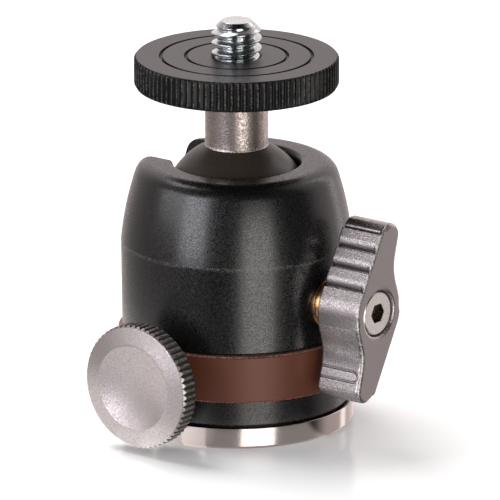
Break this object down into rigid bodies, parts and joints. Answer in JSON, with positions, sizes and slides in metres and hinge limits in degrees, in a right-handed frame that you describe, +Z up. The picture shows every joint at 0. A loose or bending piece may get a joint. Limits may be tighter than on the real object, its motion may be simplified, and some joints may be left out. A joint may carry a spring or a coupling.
{
  "type": "tripod ball head",
  "caption": "Compact ball head: camera stud and knurled disc on a ball stem, notched body with wing lock lever, side pan knob and threaded base.",
  "frame": {"origin": "centre of the tripod thread's mouth at the underside of the base, on the pan axis", "axes": "+Z up along the pan axis to the camera screw, +X to the lock lever, -Y to the pan knob, -X to the drop notch"},
  "size_m": [0.0377, 0.0365, 0.0522],
  "materials": {
    "polished_aluminium": "polished, turned",
    "blasted_aluminium": "bead blasted, clear anodised",
    "titanium_anodised": "bead blasted, grey anodised",
    "black_housing": "bead blasted, black anodised",
    "black_turned": "turned, black anodised",
    "brown_anodised": "satin, brown anodised",
    "ball_black": "polished, hard anodised black",
    "stainless": "polished",
    "steel_black": "black oxide",
    "brass": "turned",
    "seat_plastic": "acetal, off-white",
    "seat_black": "acetal, black",
    "washer_plastic": "nylon, black",
    "knob_two_tone": "black anodised, face machined and blasted"
  },
  "bodies": {
    "base": {"base_plate": "polished_aluminium", "pan_washer_lower": "washer_plastic", "pan_washer_upper": "washer_plastic", "retaining_ring": "steel_black"},
    "housing": {"housing": "black_housing", "lower_collar": "black_turned", "accent_band": "brown_anodised", "spring_plate": "stainless", "disc_springs": "stainless", "upper_seat": "seat_black", "lock_bush": "brass", "pan_bush": "stainless"},
    "thrust": {"thrust_pin": "stainless"},
    "lever": {"lock_screw": "stainless", "lever_washer": "washer_plastic", "lock_lever": "titanium_anodised", "lever_screw": "stainless"},
    "cup": {"pressure_cup": "brass"},
    "seat": {"lower_seat": "seat_plastic"},
    "ball": {"ball": "ball_black"},
    "stem": {"stem": "blasted_aluminium", "camera_screw": "stainless"},
    "disc": {"lock_disc": "black_turned"},
    "pad": {"brake_pad": "seat_plastic"},
    "knob": {"pan_screw": "stainless", "pan_knob": "knob_two_tone"}
  },
  "joints": [
    {"name": "pan_turn", "type": "hinge", "parent": "base", "child": "housing", "pos_m": [0, 0, 0], "axis": [0, 0, 1], "continuous": true},
    {"name": "thrust_travel", "type": "slide", "parent": "housing", "child": "thrust", "axis": [1, 0, 0], "range_m": [0, 0.000375]},
    {"name": "lever_turn", "type": "hinge", "parent": "thrust", "child": "lever", "pos_m": [0, 0, 0.0176], "axis": [1, 0, 0], "range_deg": [0, 270]},
    {"name": "cup_drop", "type": "slide", "parent": "housing", "child": "cup", "axis": [0, 0, -1], "range_m": [0, 0.0002626]},
    {"name": "ball_swivel", "type": "hinge", "parent": "cup", "child": "seat", "pos_m": [0, 0, 0.0273], "axis": [0, 0, 1], "range_deg": [-360, 360]},
    {"name": "ball_tilt", "type": "hinge", "parent": "seat", "child": "ball", "pos_m": [0, 0, 0.0273], "axis": [0, -1, 0], "range_deg": [-27, 90]},
    {"name": "stem_spin", "type": "hinge", "parent": "ball", "child": "stem", "pos_m": [0, 0, 0.0273], "axis": [0, 0, 1], "continuous": true},
    {"name": "disc_turn", "type": "hinge", "parent": "stem", "child": "disc", "pos_m": [0, 0, 0.0476], "axis": [0, 0, 1], "range_deg": [0, 360]},
    {"name": "pad_travel", "type": "slide", "parent": "housing", "child": "pad", "axis": [0, -1, 0], "range_m": [0, 0.0007]},
    {"name": "knob_turn", "type": "hinge", "parent": "pad", "child": "knob", "pos_m": [0, 0, 0.0088], "axis": [0, -1, 0], "range_deg": [0, 360]}
  ],
  "couplings": [
    {"joint": "lever_turn", "follows": "thrust_travel", "rad_per_m": 12566},
    {"joint": "cup_drop", "follows": "thrust_travel", "ratio": 0.7002},
    {"joint": "knob_turn", "follows": "pad_travel", "rad_per_m": 8975.9}
  ]
}
